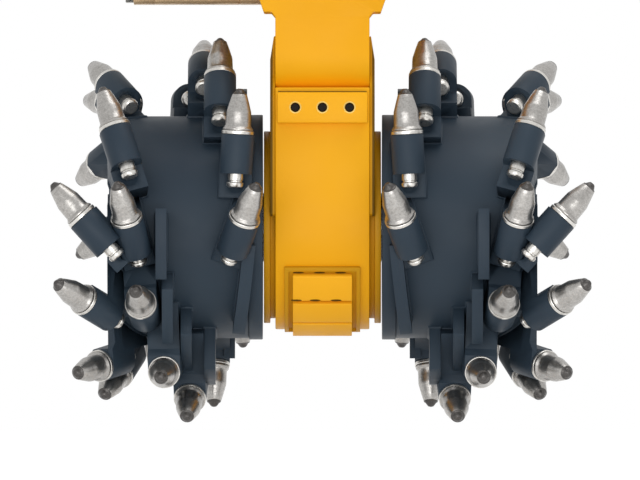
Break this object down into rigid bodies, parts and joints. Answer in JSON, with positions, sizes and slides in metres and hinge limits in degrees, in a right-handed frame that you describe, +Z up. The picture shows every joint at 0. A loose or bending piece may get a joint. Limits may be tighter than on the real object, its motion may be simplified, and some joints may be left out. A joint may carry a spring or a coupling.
{
  "type": "hydraulic drum cutter",
  "caption": "Twin-drum rock cutting head for an excavator arm: a narrow yellow gear case with a side-mounted hydraulic motor drives two dark drums set with conical picks.",
  "frame": {"origin": "middle of the upper face of the carrier flange", "axes": "+X along the drum shaft to the right seen from the front, +Y to the back, +Z up out of the flange"},
  "size_m": [0.7878, 0.5451, 0.8035],
  "materials": {
    "housing_paint": "semi-gloss yellow paint",
    "motor_casting": "bare machined casting",
    "plated_hardware": "zinc plated",
    "drum_paint": "satin dark blue-grey paint",
    "pick_steel": "fine turned steel",
    "carbide": "ground hard metal",
    "machined_steel": "ground and oiled",
    "bronze": "machined bronze",
    "seal_rubber": "matt black"
  },
  "bodies": {
    "housing": {"gear_case": "housing_paint", "case_cover": "housing_paint", "side_plate_right": "housing_paint", "bearing_carrier_left": "housing_paint", "bearing_carrier_right": "housing_paint", "neck_plate_front": "housing_paint", "neck_plate_rear": "housing_paint", "carrier_flange": "housing_paint", "front_bar": "housing_paint", "wear_frame": "housing_paint", "wear_slats": "housing_paint", "pinion_cap": "housing_paint", "motor_plate": "motor_casting", "motor_front_cover": "motor_casting", "motor_body": "motor_casting", "motor_end_cover": "motor_casting", "oil_plugs": "plated_hardware", "motor_bolts": "plated_hardware", "motor_port_fittings": "plated_hardware", "main_bearing_cups": "machined_steel", "shaft_seals": "seal_rubber", "idler_pin": "machined_steel", "pinion_bearing_cups": "machined_steel"},
    "drums": {"drum_shell_left": "drum_paint", "drum_shell_right": "drum_paint", "drum_inner_plates": "drum_paint", "drum_webs": "drum_paint", "end_cover_left": "drum_paint", "end_cover_right": "drum_paint", "flights_left": "drum_paint", "flights_right": "drum_paint", "pick_holders_left": "drum_paint", "pick_holders_right": "drum_paint", "pick_bodies_left": "pick_steel", "pick_bodies_right": "pick_steel", "pick_tips_left": "carbide", "pick_tips_right": "carbide", "hub_bolts": "plated_hardware", "main_bearing_cones": "machined_steel", "main_bearing_rollers": "machined_steel", "output_shaft": "machined_steel", "shaft_spacer": "machined_steel", "output_gear": "machined_steel", "output_gear_key": "machined_steel", "shaft_hubs": "machined_steel", "hub_retainers": "machined_steel"},
    "idler": {"idler_gear": "machined_steel", "idler_bush": "bronze"},
    "pinion": {"drive_pinion": "machined_steel", "pinion_bearing_rollers": "machined_steel", "motor_shaft": "machined_steel"},
    "motor_gear": {"motor_driven_gear": "machined_steel"}
  },
  "joints": [
    {"name": "drum_rotation", "type": "hinge", "parent": "housing", "child": "drums", "pos_m": [0, 0, -0.52], "axis": [1, 0, 0], "continuous": true},
    {"name": "idler_rotation", "type": "hinge", "parent": "housing", "child": "idler", "pos_m": [0, 0, -0.298], "axis": [1, 0, 0], "continuous": true},
    {"name": "pinion_rotation", "type": "hinge", "parent": "housing", "child": "pinion", "pos_m": [0, 0, -0.133], "axis": [1, 0, 0], "continuous": true},
    {"name": "motor_gear_rotation", "type": "hinge", "parent": "housing", "child": "motor_gear", "pos_m": [0, 0, -0.085], "axis": [1, 0, 0], "continuous": true}
  ],
  "couplings": [
    {"joint": "idler_rotation", "follows": "drum_rotation", "ratio": -1.0556},
    {"joint": "pinion_rotation", "follows": "drum_rotation", "ratio": 2},
    {"joint": "motor_gear_rotation", "follows": "drum_rotation", "ratio": -2}
  ]
}
